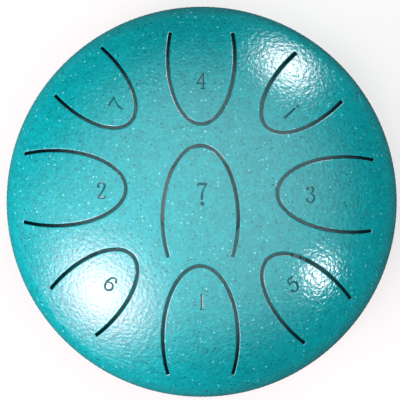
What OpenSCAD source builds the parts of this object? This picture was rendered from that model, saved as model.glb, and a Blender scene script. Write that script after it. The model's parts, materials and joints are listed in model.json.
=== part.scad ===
// Steel tongue drum: two pressed shells welded at their widest line, nine
// tongues freed by curved slots in the top, and three screwed rubber feet.
// Millimetres, +Z up. The origin is on the table, below the drum's centre.
// The tongue of the low seventh note points away from the player, towards +Y.

/* [Shells] */
// Outer diameter of both shells at the seam
drum_d = 155; // [145:1:165]
// Thickness of the steel sheet
sheet_t = 1.2; // [0.8:0.1:1.5]
// Outer radius of the top dome's crown
crown_r = 110; // [104:1:125]
// Outer radius of the bend between the top dome and its skirt
shoulder_r = 11; // [9:0.5:12.5]
// Outer radius of the bottom shell's dished base
base_crown_r = 150; // [135:1:180]
// Outer radius of the bend between the base and its skirt
base_shoulder_r = 20; // [16:0.5:24]
// Straight skirt of each shell, next to the seam
skirt_h = 3; // [2:0.5:6]
// Diameter of the sound port in the middle of the base
port_d = 36; // [28:1:44]

/* [Seam weld] */
// Gap between the two skirts, filled by the weld
seam_gap = 1; // [0.6:0.1:1.6]
// Width of the weld bead on the outside
bead_w = 2.6; // [2:0.1:4]
// Height of the bead over the skirts
bead_rise = 0.2; // [0.1:0.05:0.4]

/* [Tongues] */
// Length of the tongue of the first note, from slot to root
tongue_l = 43.1; // [38:0.1:46]
// Width between the slots of the four low tongues, at their widest
wide_w = 29.6; // [26:0.1:30.5]
// Distance from the tip of a low tongue to its widest place
wide_belly = 28.5; // [25:0.1:32]
// Width between the slots of the five high tongues, at their widest
narrow_w = 26.4; // [22:0.1:27.5]
// Distance from the tip of a high tongue to its widest place
narrow_belly = 26.4; // [23:0.1:29]
// Width of the cut that frees a tongue
slot_w = 1.3; // [0.8:0.1:1.8]
// Hairline between a tongue's root and the shell that it bends from
root_gap = 0.05; // [0.04:0.01:0.1]
// Sideways place of the point where the axes of the outer tongues meet
ring_x = -0.5; // [-1.5:0.1:0.5]
// Place of that point towards the far side of the drum
ring_y = 4.9; // [3.5:0.1:6]
// Distance from the root of the middle tongue to the slot of the first tongue
bridge_l = 3.4; // [3:0.1:4.5]

/* [Feet] */
// Radius of the circle that the feet stand on
foot_ring_r = 44; // [36:1:50]
// Height of a foot on its own centre line
foot_h = 9.5; // [8.5:0.1:13]
// Diameter of a foot at the shell
foot_top_d = 17; // [15:0.5:20]
// Diameter of a foot at the table
foot_bottom_d = 14.6; // [13:0.2:16]
// Height of a foot's taper
foot_taper_h = 6; // [4:0.5:7]
// Rounding of a foot's lower edge
foot_edge_r = 1.2; // [0.6:0.1:1.8]
// Rubber held between the washer and the shell
foot_clamp_h = 3.9; // [3:0.1:5]

/* [Foot fasteners] */
// Shank diameter of a foot's screw
screw_d = 4; // [3:0.5:4]
// Length of the screw under its head
screw_l = 12; // [10:1:14]
// Diameter of the screw's pan head
head_d = 8; // [7:0.1:8.4]
// Height of the pan head
head_h = 2.6; // [2:0.1:2.8]
// Outer diameter of the washer
washer_d = 9; // [8.6:0.1:10]
// Thickness of the washer
washer_t = 0.8; // [0.5:0.1:1]
// Outer diameter of the threaded boss inside the drum
boss_d = 9; // [7:0.5:11]
// Height of the boss over the base sheet
boss_h = 8; // [6:0.5:10]

/* [Hidden] */
$fn = 96;

// Clearances, all per side
hole_clear = 0.2;
thread_clear = 0.05;
recess_clear = 0.3;
// Overrun of every cut
over = 2;
// Angle by which the crown's arc laps the shoulder's, so that the two fuse
join_lap_angle = 0.05;

// Cross recess of the screw head, and the rounding of the head
cross_l = 4.4;
cross_w = 0.9;
cross_depth = 1.4;
head_edge_r = 1.2;
// Chamfer on the screw's end and on the boss's rim
end_chamfer = 0.5;

lacquer = [0.05, 0.62, 0.65];
dark_lacquer = [0.04, 0.52, 0.55];
rubber = [0.12, 0.12, 0.13];
zinc = [0.75, 0.76, 0.78];

drum_r = drum_d / 2;

// Slope of a dome where its crown meets its shoulder, and the dome's height
function join_slope(crown, shoulder) = asin((drum_r - shoulder) / (crown - shoulder));
function dome_h(crown, shoulder) = crown - (crown - shoulder) * cos(join_slope(crown, shoulder));

// Heights over the table, from the feet up
base_centre_z = foot_h + sqrt(pow(base_crown_r, 2) - pow(foot_ring_r, 2));
base_wide_z = base_centre_z - base_crown_r + dome_h(base_crown_r, base_shoulder_r);
seam_z = base_wide_z + skirt_h + seam_gap / 2;
top_wide_z = seam_z + seam_gap / 2 + skirt_h;

// The tongues that point outward, by number: their directions, the distances of
// their roots from the meeting point as shares of the drum's radius, and their
// lengths as shares of the first one's. Number 8 is the high first note.
tongue_angles = [-90, 179.5, -2, 89.6, -46, -136, 136, 43.5];
reach_shares = [0.9435, 0.9, 0.8775, 0.799, 0.934, 0.902, 0.869, 0.834];
length_shares = [1, 0.942, 0.876, 0, 0.798, 0.76, 0.68, 0.671];
// The fourth tongue and the middle one face each other across the drum from the
// first, and share the line that its slot and the bridge leave
middle_share = 0.494;
fourth_share = 0.41;
// The middle tongue and the first three are of the wide kind
last_wide = 3;

function direction(number) = tongue_angles[number - 1];
function reach(number) = reach_shares[number - 1] * drum_r;
function root_x(number) = ring_x + reach(number) * cos(direction(number));
function root_y(number) = ring_y + reach(number) * sin(direction(number));

middle_root_y = root_y(1) + tongue_l + bridge_l;
free_line = root_y(4) - middle_root_y;
middle_l = middle_share * free_line;
function tongue_length(number) =
    number == 4 ? fourth_share * free_line : length_shares[number - 1] * tongue_l;

foot_angles = [90, 210, 330];
washer_z = foot_h - foot_clamp_h - washer_t;

// Ring-shaped strip as thick as the sheet, inside an outer radius
module arc_strip(outer_r) {
    difference() {
        circle(r = outer_r);
        circle(r = outer_r - sheet_t);
    }
}

// Half section of a dome over its skirt, with height 0 at its widest line
module shell_section(crown, shoulder) {
    slope = join_slope(crown, shoulder);
    crown_y = dome_h(crown, shoulder) - crown;
    far = 2 * crown;
    near = 2 * shoulder;
    intersection() {
        translate([0, crown_y]) arc_strip(crown);
        polygon([
            [0, crown_y],
            [far * sin(slope + join_lap_angle), crown_y + far * cos(slope + join_lap_angle)],
            [0, crown_y + far]
        ]);
    }
    translate([drum_r - shoulder, 0]) intersection() {
        arc_strip(shoulder);
        polygon([[0, 0], [near, 0], [near * sin(slope), near * cos(slope)]]);
    }
    translate([drum_r - sheet_t, -skirt_h]) square([sheet_t, skirt_h]);
}

module top_dome() {
    translate([0, 0, top_wide_z]) rotate_extrude() shell_section(crown_r, shoulder_r);
}

// Plan outline of a tongue along +X, with its root line at 0 and its tip at
// -length. Side moves the outline out from the middle of the slot.
module tongue_outline(length, wide, side, root_back) {
    half_w = (wide ? wide_w : narrow_w) / 2;
    belly = wide ? wide_belly : narrow_belly;
    intersection() {
        translate([belly - length, 0]) scale([belly + side, half_w + side]) circle(r = 1);
        translate([-length - over, -half_w - over]) square([length + over - root_back, 2 * (half_w + over)]);
    }
}

// Upright prism of an outer tongue, tall enough to cross the dome
module outer_prism(number, side, root_back) {
    translate([root_x(number), root_y(number), top_wide_z - skirt_h]) rotate(direction(number))
        linear_extrude(skirt_h + crown_r)
            tongue_outline(tongue_length(number), number <= last_wide, side, root_back);
}

module middle_prism(side, root_back) {
    translate([ring_x, middle_root_y, top_wide_z - skirt_h]) rotate(direction(1))
        linear_extrude(skirt_h + crown_r) tongue_outline(middle_l, true, side, root_back);
}

module outer_tongue(number) {
    color(lacquer) intersection() {
        top_dome();
        outer_prism(number, -slot_w / 2, root_gap);
    }
}

module middle_tongue() {
    color(lacquer) intersection() {
        top_dome();
        middle_prism(-slot_w / 2, root_gap);
    }
}

// The windows reach the far side of each slot and the root line
module top_shell() {
    color(lacquer) difference() {
        top_dome();
        for (number = [1 : len(tongue_angles)]) outer_prism(number, slot_w / 2, 0);
        middle_prism(slot_w / 2, 0);
    }
}

// Puts something at the place of foot number 1, 2 or 3
module at_foot(number) {
    angle = foot_angles[number - 1];
    translate([foot_ring_r * cos(angle), foot_ring_r * sin(angle), 0]) children();
}

module bottom_shell() {
    color(dark_lacquer) difference() {
        translate([0, 0, base_wide_z]) mirror([0, 0, 1]) rotate_extrude()
            shell_section(base_crown_r, base_shoulder_r);
        translate([0, 0, -over]) cylinder(d = port_d, h = base_wide_z);
        for (number = [1 : 3])
            at_foot(number) cylinder(d = screw_d + 2 * hole_clear, h = base_wide_z);
    }
}

// The weld fills the gap between the skirts and caps it with a low bead
module seam_weld() {
    bead_r = (pow(bead_w / 2, 2) + pow(bead_rise, 2)) / (2 * bead_rise);
    color(dark_lacquer) translate([0, 0, seam_z]) rotate_extrude() {
        translate([drum_r - sheet_t, -seam_gap / 2]) square([sheet_t, seam_gap]);
        intersection() {
            translate([drum_r + bead_rise - bead_r, 0]) circle(r = bead_r);
            translate([drum_r, -bead_w / 2]) square([2 * bead_rise, bead_w]);
        }
    }
}

// Ball with the base's own centre, for what seats on the base sheet
module base_ball(ball_r) {
    translate([0, 0, base_centre_z]) sphere(r = ball_r);
}

module foot_body() {
    bottom_r = foot_bottom_d / 2;
    top_r = foot_top_d / 2;
    rotate_extrude() {
        polygon([
            [0, 0],
            [bottom_r - foot_edge_r, 0],
            [bottom_r - foot_edge_r, foot_edge_r],
            [bottom_r, foot_edge_r],
            [top_r, foot_taper_h],
            [top_r, foot_h + top_r],
            [0, foot_h + top_r]
        ]);
        translate([bottom_r - foot_edge_r, foot_edge_r]) circle(r = foot_edge_r);
    }
}

module foot(number) {
    recess_d = washer_d + 2 * recess_clear;
    color(rubber) difference() {
        at_foot(number) foot_body();
        base_ball(base_crown_r);
        at_foot(number) {
            translate([0, 0, -over]) cylinder(d = recess_d, h = over + foot_h - foot_clamp_h);
            cylinder(d = screw_d + 2 * hole_clear, h = 2 * foot_h);
        }
    }
}

module foot_washer(number) {
    color(zinc) at_foot(number) translate([0, 0, washer_z]) difference() {
        cylinder(d = washer_d, h = washer_t);
        translate([0, 0, -over]) cylinder(d = screw_d + 2 * hole_clear, h = washer_t + 2 * over);
    }
}

// Pan head below, shank above
module foot_screw(number) {
    edge_x = head_d / 2 - head_edge_r;
    color(zinc) at_foot(number) translate([0, 0, washer_z]) {
        difference() {
            translate([0, 0, -head_h]) rotate_extrude() {
                square([edge_x, head_h]);
                translate([edge_x, head_edge_r]) square([head_edge_r, head_h - head_edge_r]);
                intersection() {
                    translate([edge_x, head_edge_r]) circle(r = head_edge_r);
                    square([head_d, head_edge_r]);
                }
            }
            for (turn = [0, 90]) rotate(turn)
                translate([-cross_l / 2, -cross_w / 2, -head_h - over])
                    cube([cross_l, cross_w, cross_depth + over]);
        }
        cylinder(d = screw_d, h = screw_l - end_chamfer);
        translate([0, 0, screw_l - end_chamfer])
            cylinder(d1 = screw_d, d2 = screw_d - 2 * end_chamfer, h = end_chamfer);
    }
}

// Threaded boss, welded to the inside of the base with its foot cut to the dish
module foot_boss(number) {
    boss_top = base_centre_z - sqrt(pow(base_crown_r - sheet_t, 2) - pow(foot_ring_r, 2)) + boss_h;
    color(zinc) intersection() {
        base_ball(base_crown_r - sheet_t);
        at_foot(number) difference() {
            union() {
                cylinder(d = boss_d, h = boss_top - end_chamfer);
                translate([0, 0, boss_top - end_chamfer])
                    cylinder(d1 = boss_d, d2 = boss_d - 2 * end_chamfer, h = end_chamfer);
            }
            translate([0, 0, -over]) cylinder(d = screw_d + 2 * thread_clear, h = boss_top + 2 * over);
        }
    }
}

top_shell();
middle_tongue();  // tongue_low_7
outer_tongue(1);  // tongue_1
outer_tongue(2);  // tongue_2
outer_tongue(3);  // tongue_3
outer_tongue(4);  // tongue_4
outer_tongue(5);  // tongue_5
outer_tongue(6);  // tongue_6
outer_tongue(7);  // tongue_7
outer_tongue(8);  // tongue_high_1
bottom_shell();
seam_weld();
foot(1);  // foot_1
foot(2);  // foot_2
foot(3);  // foot_3
foot_washer(1);  // foot_washer_1
foot_washer(2);  // foot_washer_2
foot_washer(3);  // foot_washer_3
foot_screw(1);  // foot_screw_1
foot_screw(2);  // foot_screw_2
foot_screw(3);  // foot_screw_3
foot_boss(1);  // foot_boss_1
foot_boss(2);  // foot_boss_2
foot_boss(3);  // foot_boss_3
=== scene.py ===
"""Steel tongue drum: its finished surfaces, its light and its camera.

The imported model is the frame. The dome with its nine tongues, the bottom shell
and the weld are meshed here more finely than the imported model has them, because
their slots, pressed numerals and rolled edges are small; the rubber feet and
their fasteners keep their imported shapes. Sizes are in millimetres until a mesh
is made, and Blender has metres.
"""

from __future__ import annotations

import json
import logging
import math
from collections.abc import Sequence
from dataclasses import dataclass, field
from enum import Enum

import bpy
import numpy as np
from bpy.types import Material, Node, NodeSocket, Object, World
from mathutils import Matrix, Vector
from mathutils.geometry import delaunay_2d_cdt

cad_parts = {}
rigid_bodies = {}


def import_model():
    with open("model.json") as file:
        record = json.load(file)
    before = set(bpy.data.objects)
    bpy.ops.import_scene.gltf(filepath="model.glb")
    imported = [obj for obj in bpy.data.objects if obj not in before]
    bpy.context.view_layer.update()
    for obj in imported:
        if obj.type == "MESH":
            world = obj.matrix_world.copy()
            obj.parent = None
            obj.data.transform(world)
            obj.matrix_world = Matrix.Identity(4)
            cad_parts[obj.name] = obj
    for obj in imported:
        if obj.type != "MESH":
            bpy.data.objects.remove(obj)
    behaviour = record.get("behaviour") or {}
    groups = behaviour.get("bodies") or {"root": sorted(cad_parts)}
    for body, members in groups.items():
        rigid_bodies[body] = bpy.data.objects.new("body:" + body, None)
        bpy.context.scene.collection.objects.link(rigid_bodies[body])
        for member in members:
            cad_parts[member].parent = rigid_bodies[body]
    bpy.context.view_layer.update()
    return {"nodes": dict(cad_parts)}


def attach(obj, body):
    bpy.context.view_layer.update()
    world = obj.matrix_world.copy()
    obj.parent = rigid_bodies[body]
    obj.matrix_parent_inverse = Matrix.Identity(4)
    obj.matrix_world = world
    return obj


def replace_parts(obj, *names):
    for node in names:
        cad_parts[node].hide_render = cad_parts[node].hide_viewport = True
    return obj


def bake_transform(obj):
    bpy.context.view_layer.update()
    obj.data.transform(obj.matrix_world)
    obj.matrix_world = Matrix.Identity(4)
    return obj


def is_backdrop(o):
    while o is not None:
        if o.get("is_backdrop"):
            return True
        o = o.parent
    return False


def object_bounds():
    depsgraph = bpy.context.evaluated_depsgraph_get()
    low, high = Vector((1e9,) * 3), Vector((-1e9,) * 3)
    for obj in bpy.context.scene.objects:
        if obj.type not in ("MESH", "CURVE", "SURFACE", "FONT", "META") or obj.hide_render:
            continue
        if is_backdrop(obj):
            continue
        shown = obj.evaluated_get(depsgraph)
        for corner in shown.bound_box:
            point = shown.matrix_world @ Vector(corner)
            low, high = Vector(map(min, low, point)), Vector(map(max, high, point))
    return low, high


MM = 0.001
TINY = 1e-9
DRUM = "drum"
SLOT = "slot"
NUMERAL = "numeral"
SEAM_Z = 39.809
DRUM_R = 77.5
BLACK = (0.0, 0.0, 0.0, 1.0)
WHITE = (1.0, 1.0, 1.0, 1.0)

log = logging.getLogger("tongue_drum")

Plan = tuple[float, float]
Place = tuple[float, float, float]
Colour = tuple[float, float, float]
SectionPoint = tuple[float, float, float, float]
Amount = NodeSocket | float
Regions = dict[str, list[tuple[tuple[int, ...], bool]]]


def linked(thing: Object) -> Object:
    """Puts an object in the scene and gives it back."""
    bpy.context.scene.collection.objects.link(thing)
    return thing


def surface(
    name: str,
    points: Sequence[Place],
    faces: Sequence[Sequence[int]],
    finishes: Sequence[Material],
) -> Object:
    """Makes a smooth surface.

    Args:
        name: The name of the object and of its mesh.
        points: Its points, in millimetres.
        faces: The indices of each face's corners.
        finishes: Its materials.

    Returns:
        The new object, in the scene.
    """
    mesh = bpy.data.meshes.new(name)
    mesh.from_pydata([(x * MM, y * MM, z * MM) for x, y, z in points], [], faces)
    for finish in finishes:
        mesh.materials.append(finish)
    mesh.polygons.foreach_set("use_smooth", [True] * len(faces))
    return linked(bpy.data.objects.new(name, mesh))


def circle(radius: float, height: float, steps: int) -> list[Place]:
    """Places round the axis, anticlockwise."""
    turns = [math.tau * step / steps for step in range(steps)]
    return [(radius * math.cos(turn), radius * math.sin(turn), height) for turn in turns]


def turned(rows: np.ndarray, degrees: float) -> np.ndarray:
    """Turns places or directions in plan about the origin.

    Args:
        rows: The places or directions, in rows.
        degrees: The angle, anticlockwise.

    Returns:
        The turned rows.
    """
    cos, sin = math.cos(math.radians(degrees)), math.sin(math.radians(degrees))
    x, y = rows[:, 0], rows[:, 1]
    return np.column_stack([cos * x - sin * y, sin * x + cos * y])


class Family(Enum):
    """The two patterns that the slots are cut to: widest width, and its distance from the tip."""

    WIDE = (29.6, 28.5)
    NARROW = (26.4, 26.4)

    @property
    def half_width(self) -> float:
        """Half the width between the middles of the slot's two sides."""
        return self.value[0] / 2

    @property
    def belly(self) -> float:
        """Distance from the tip to the widest place."""
        return self.value[1]


class Zone(Enum):
    """Which surface of the sheet a face belongs to, and its material's index."""

    OUTSIDE = 0
    NUMERAL = 1
    INSIDE = 2


@dataclass(frozen=True)
class Profile:
    """Half section of a pressed shell: a spherical crown, a rolled shoulder, a straight skirt."""

    crown_r: float
    shoulder_r: float
    wide_z: float
    up: bool
    skirt_h: float = 3.0
    sheet_t: float = 1.2
    crown_step: float = 2.5
    shoulder_step: float = 0.9

    @property
    def slope(self) -> float:
        """Angle from the axis at which the crown meets the shoulder."""
        return math.asin((DRUM_R - self.shoulder_r) / (self.crown_r - self.shoulder_r))

    def place(self, rise: np.ndarray | float) -> np.ndarray | float:
        """Turns a height over the widest line, the crown's way, into one over the table."""
        return self.wide_z + (rise if self.up else -rise)

    def shape(
        self, radius: np.ndarray | float, inset: float = 0.0
    ) -> tuple[np.ndarray, np.ndarray]:
        """Gives the form of the crown and the shoulder at a distance from the axis.

        Args:
            radius: Distance from the axis.
            inset: Depth under the outer face, such as the sheet's thickness.

        Returns:
            The height over the table, and the angle between the axis and the normal.
        """
        reach = np.asarray(radius, float)
        ball, bend = self.crown_r - inset, self.shoulder_r - inset
        on_crown = reach <= ball * math.sin(self.slope)
        crown = np.arcsin(np.minimum(reach / ball, 1))
        shoulder = np.arcsin(np.clip((reach - DRUM_R + self.shoulder_r) / bend, 0, 1))
        lean = np.where(on_crown, crown, shoulder)
        behind = (self.crown_r - self.shoulder_r) * math.cos(self.slope)
        rise = np.where(on_crown, ball * np.cos(lean) - behind, bend * np.cos(lean))
        return self.place(rise), lean

    def section(self, start_r: float, inset: float = 0.0) -> list[SectionPoint]:
        """Points of one face from a place on it down to the end of the skirt.

        Args:
            start_r: Distance from the axis at which the points start.
            inset: 0 for the outer face, the sheet's thickness for the inner one.

        Returns:
            Distance from the axis, height, and the outward and upward parts of the
            normal, which points out of the sheet, for each point.
        """
        bend, level = self.shoulder_r - inset, math.pi / 2
        start = float(self.shape(start_r, inset)[1])
        places = []
        if start < self.slope:
            room = (self.crown_r - inset) * math.sin(self.slope) - start_r
            steps = max(2, int(room / self.crown_step))
            for radius in (start_r + room * step / steps for step in range(steps)):
                places.append((radius, *map(float, self.shape(radius, inset))))
        begin = max(start, self.slope)
        steps = max(3, int((level - begin) * bend / self.shoulder_step))
        for lean in (begin + (level - begin) * step / steps for step in range(steps + 1)):
            radius = DRUM_R - self.shoulder_r + bend * math.sin(lean)
            places.append((radius, self.place(bend * math.cos(lean)), lean))
        places.append((DRUM_R - inset, self.place(-self.skirt_h), level))
        out = -1 if inset else 1
        above = out if self.up else -out
        return [(r, z, out * math.sin(lean), above * math.cos(lean)) for r, z, lean in places]


@dataclass
class MeshBuilder:
    """Collects points, faces, corner normals and zones, and makes one object of them."""

    points: list[Place] = field(default_factory=list)
    faces: list[tuple[int, ...]] = field(default_factory=list)
    normals: list[Place] = field(default_factory=list)
    zones: list[int] = field(default_factory=list)

    def add_points(self, points: Sequence[Place]) -> list[int]:
        """Adds points in millimetres and gives their indices."""
        self.points.extend(points)
        return list(range(len(self.points) - len(points), len(self.points)))

    def add_face(
        self, corners: Sequence[int], normals: Sequence[Sequence[float]], zone: Zone
    ) -> None:
        """Adds one face.

        Args:
            corners: The indices of its corners, anticlockwise as seen from its front.
            normals: A normal for each corner.
            zone: The surface that it belongs to.
        """
        self.faces.append(tuple(corners))
        self.normals.extend(tuple(map(float, normal)) for normal in normals)
        self.zones.append(zone.value)

    def add_lathe(
        self,
        section: Sequence[SectionPoint],
        steps: int,
        zone: Zone,
        first_ring: Sequence[int] | None = None,
        last_ring: Sequence[int] | None = None,
    ) -> Sequence[int]:
        """Turns a section round the axis.

        Args:
            section: Distance from the axis, height, and the normal's outward and
                upward parts, for each point, in the order that has the front on
                the left.
            steps: Number of steps round the axis.
            zone: The surface that the faces belong to.
            first_ring: Points that the first place of the section shares.
            last_ring: Points that the last place of the section shares.

        Returns:
            The indices of the last ring.
        """
        rings = [first_ring or self.add_points(circle(*section[0][:2], steps))]
        rings += [self.add_points(circle(*point[:2], steps)) for point in section[1:-1]]
        rings.append(last_ring or self.add_points(circle(*section[-1][:2], steps)))
        ways = circle(1.0, 0.0, steps)
        for near, far, near_ring, far_ring in zip(section, section[1:], rings, rings[1:]):
            for here in range(steps):
                there = (here + 1) % steps
                corners = (near_ring[here], far_ring[here], far_ring[there], near_ring[there])
                ends = ((near, here), (far, here), (far, there), (near, there))
                normals = [(p[2] * ways[at][0], p[2] * ways[at][1], p[3]) for p, at in ends]
                self.add_face(corners, normals, zone)
        return rings[-1]

    def build(self, name: str, finishes: Sequence[Material]) -> Object:
        """Makes the object.

        Args:
            name: The object's name.
            finishes: One material for each zone.

        Returns:
            The new object, in the scene.
        """
        thing = surface(name, self.points, self.faces, finishes)
        thing.data.polygons.foreach_set("material_index", self.zones)
        thing.data.normals_split_custom_set(self.normals)
        thing.data.update()
        return thing


@dataclass(frozen=True)
class Ramp:
    """A soft change: where it starts and ends, and what comes out at its start and its end."""

    start: float
    end: float
    first: float = 0.0
    last: float = 1.0


@dataclass(frozen=True)
class Grain:
    """A cloudy pattern: the size of its lumps, how fine and how rough it is, and its shift."""

    size_mm: float
    detail: float = 2.0
    roughness: float = 0.5
    shift: Place = (0.0, 0.0, 0.0)


@dataclass
class Graph:
    """The node tree of one material or world."""

    owner: Material | World

    def __post_init__(self) -> None:
        """Empties the tree."""
        self.owner.use_nodes = True
        self.owner.node_tree.nodes.clear()

    def node(
        self, kind: str, inputs: dict[str | int, object] | None = None, **settings: object
    ) -> Node:
        """Adds a node.

        Args:
            kind: The node's type.
            inputs: Values or sockets for its inputs, by name or number.
            settings: Attributes of the node.

        Returns:
            The new node.
        """
        made = self.owner.node_tree.nodes.new(kind)
        for name, value in settings.items():
            setattr(made, name, value)
        for key, value in (inputs or {}).items():
            if isinstance(value, NodeSocket):
                self.owner.node_tree.links.new(value, made.inputs[key])
            else:
                made.inputs[key].default_value = value
        return made

    def math(self, operation: str, *inputs: Amount) -> NodeSocket:
        """Adds a math node and gives its output."""
        numbered = dict(enumerate(inputs))
        return self.node("ShaderNodeMath", numbered, operation=operation).outputs[0]

    def product(self, first: Amount, second: Amount) -> NodeSocket:
        """Multiplies two values."""
        return self.math("MULTIPLY", first, second)

    def vector(self, operation: str, *inputs: NodeSocket | Place) -> Node:
        """Adds a vector math node and gives the node."""
        return self.node("ShaderNodeVectorMath", dict(enumerate(inputs)), operation=operation)

    def scaled(self, colour: Colour, level: Amount) -> NodeSocket:
        """Makes a colour brighter or darker."""
        inputs = {0: colour, 3: level}
        return self.node("ShaderNodeVectorMath", inputs, operation="SCALE").outputs[0]

    def blend(
        self, share: Amount, first: NodeSocket | Sequence[float], second: Sequence[float]
    ) -> NodeSocket:
        """Mixes two colours by a share and gives the colour."""
        inputs = {0: share, 6: first, 7: second}
        return self.node("ShaderNodeMix", inputs, data_type="RGBA").outputs[2]

    def ease(self, value: Amount, ramp: Ramp) -> NodeSocket:
        """Changes a value along a ramp with soft ends."""
        inputs = {0: value, 1: ramp.start, 2: ramp.end, 3: ramp.first, 4: ramp.last}
        return self.node("ShaderNodeMapRange", inputs, interpolation_type="SMOOTHSTEP").outputs[0]

    def place(self, shift: Place = (0.0, 0.0, 0.0)) -> NodeSocket:
        """Gives the place on the object, in metres, with a shift for a pattern of its own."""
        spot = self.node("ShaderNodeTexCoord").outputs["Object"]
        return self.vector("ADD", spot, shift).outputs[0]

    def reach(self) -> NodeSocket:
        """Gives the distance from the drum's axis, in metres."""
        across = self.vector("MULTIPLY", self.place(), (1.0, 1.0, 0.0)).outputs[0]
        return self.vector("LENGTH", across).outputs["Value"]

    def noise(self, grain: Grain, place: NodeSocket | None = None) -> NodeSocket:
        """Adds a cloudy pattern.

        Args:
            grain: The pattern.
            place: The place on the object, where it is stretched or already shifted.

        Returns:
            The pattern's value, from 0 to 1.
        """
        inputs = {
            "Vector": self.place(grain.shift) if place is None else place,
            "Scale": 1 / (grain.size_mm * MM),
            "Detail": grain.detail,
            "Roughness": grain.roughness,
        }
        return self.node("ShaderNodeTexNoise", inputs).outputs[0]

    def bump(self, height: NodeSocket, depth_mm: float) -> NodeSocket:
        """Turns a height from 0 to 1 into a normal."""
        inputs = {"Height": height, "Distance": depth_mm * MM, "Strength": 1.0}
        return self.node("ShaderNodeBump", inputs).outputs[0]

    def finish(self, **inputs: object) -> Material:
        """Ends the tree in a principled shader.

        Args:
            inputs: The shader's inputs, by name with underscores.

        Returns:
            The material.
        """
        named = {name.replace("_", " "): value for name, value in inputs.items()}
        shader = self.node("ShaderNodeBsdfPrincipled", named)
        self.node("ShaderNodeOutputMaterial", {0: shader.outputs[0]})
        return self.owner


@dataclass(frozen=True)
class Flecks:
    """Small uneven flecks in loose clusters, some deeper in the lacquer than others.

    Sizes are in millimetres. The wobble, the least and the spare size and the edge are
    shares of a fleck's size, and the gain is how far the clusters raise or lower the
    share of the cells that have a fleck.
    """

    cell_mm: float
    size_mm: float
    share: float
    cover: float
    shift: Place
    wobble: float = 0.9
    least: float = 0.7
    spare: float = 0.6
    edge: Plan = (-0.12, 0.3)
    cluster: Grain = Grain(3.2, 1.0)
    cluster_span: Plan = (0.35, 0.65)
    gain: float = 0.55
    buried: Ramp = Ramp(0.0, 1.0, 0.3, 1.0)

    def mask(self, graph: Graph) -> NodeSocket:
        """Scatters the flecks.

        Args:
            graph: The material's graph.

        Returns:
            How much of the fleck's colour shows at each place.
        """
        place = graph.place(self.shift)
        inputs = {"Vector": place, "Scale": 1 / (self.wobble * self.size_mm * MM), "Detail": 1.0}
        wobble = graph.node("ShaderNodeTexNoise", inputs).outputs["Color"]
        uneven = graph.vector("MULTIPLY_ADD", wobble, (self.size_mm * MM,) * 3, place).outputs[0]
        inputs = {"Vector": uneven, "Scale": 1 / (self.cell_mm * MM)}
        cells = graph.node("ShaderNodeTexVoronoi", inputs, feature="F1")
        split = graph.node("ShaderNodeSeparateColor", {0: cells.outputs["Color"]})
        chance, growth, depth = split.outputs
        unit = self.size_mm / self.cell_mm
        size = graph.math("MULTIPLY_ADD", growth, self.spare * unit, self.least * unit)
        inside = graph.math("SUBTRACT", size, cells.outputs["Distance"])
        spot = graph.ease(inside, Ramp(self.edge[0] * unit, self.edge[1] * unit))
        few, many = (1 - self.gain) * self.share, (1 + self.gain) * self.share
        crowd = graph.ease(graph.noise(self.cluster, place), Ramp(*self.cluster_span, few, many))
        kept = graph.math("LESS_THAN", chance, crowd)
        shown = graph.product(graph.product(spot, kept), graph.ease(depth, self.buried))
        return graph.product(shown, self.cover)


@dataclass(frozen=True)
class HammeredLacquer:
    """Glossy stoved lacquer with small bumps, with dark flecks in it, and with light flecks that
    are partly painted glints.
    """

    name: str = "turquoise_lacquer"
    colour: Colour = (0.0012, 0.423, 0.463)
    # Colour of the light flecks, which are partly paint flecks and partly painted glints.
    light: Colour = (0.27, 0.97, 0.99)
    dark: Colour = (0.002, 0.1, 0.13)
    depth_mm: float = 0.122
    shade: float = 1.0
    gloss: float = 1.0
    metallic: float = 0.38
    roughness: float = 0.53
    specular: float = 0.05
    coat_ior: float = 1.95
    coat_roughness: float = 0.09
    clouds: Grain = Grain(4.0)
    clouds_level: Ramp = Ramp(0.3, 0.7, 0.93, 1.07)
    mottle: Grain = Grain(1.1, 2.0, 0.6, (0.3, 0.1, 0.2))
    mottle_level: Ramp = Ramp(0.3, 0.7, 0.86, 1.14)
    dark_flecks: Flecks = Flecks(1.6, 0.4, 0.74, 0.75, (0.11, 0.07, 0.05))
    light_flecks_and_glints: Flecks = Flecks(1.75, 0.36, 0.42, 0.8, (0.02, 0.31, 0.17))
    peel: Grain = Grain(1.45, 1.0, 0.35)
    fine_peel: Grain = Grain(0.7, 1.0, 0.4, (0.05, 0.2, 0.4))
    fine_share: float = 0.35

    def make(self) -> Material:
        """Builds the material.

        Returns:
            The new material.
        """
        graph = Graph(bpy.data.materials.new(self.name))
        clouds = graph.ease(graph.noise(self.clouds), self.clouds_level)
        mottle = graph.ease(graph.noise(self.mottle), self.mottle_level)
        level = graph.product(graph.product(clouds, mottle), self.shade)
        colour = graph.scaled(self.colour, level)
        colour = graph.blend(self.dark_flecks.mask(graph), colour, (*self.dark, 1))
        # Light flecks, partly painted glints.
        colour = graph.blend(self.light_flecks_and_glints.mask(graph), colour, (*self.light, 1))
        peel, fine_peel = graph.noise(self.peel), graph.noise(self.fine_peel)
        relief = graph.math("MULTIPLY_ADD", fine_peel, self.fine_share, peel)
        normal = graph.bump(relief, self.depth_mm)
        return graph.finish(
            Base_Color=colour,
            Metallic=self.metallic,
            Roughness=self.roughness,
            Specular_IOR_Level=self.specular,
            Normal=normal,
            Coat_Weight=self.gloss,
            Coat_Roughness=self.coat_roughness,
            Coat_IOR=self.coat_ior,
            Coat_Normal=normal,
        )


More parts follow.
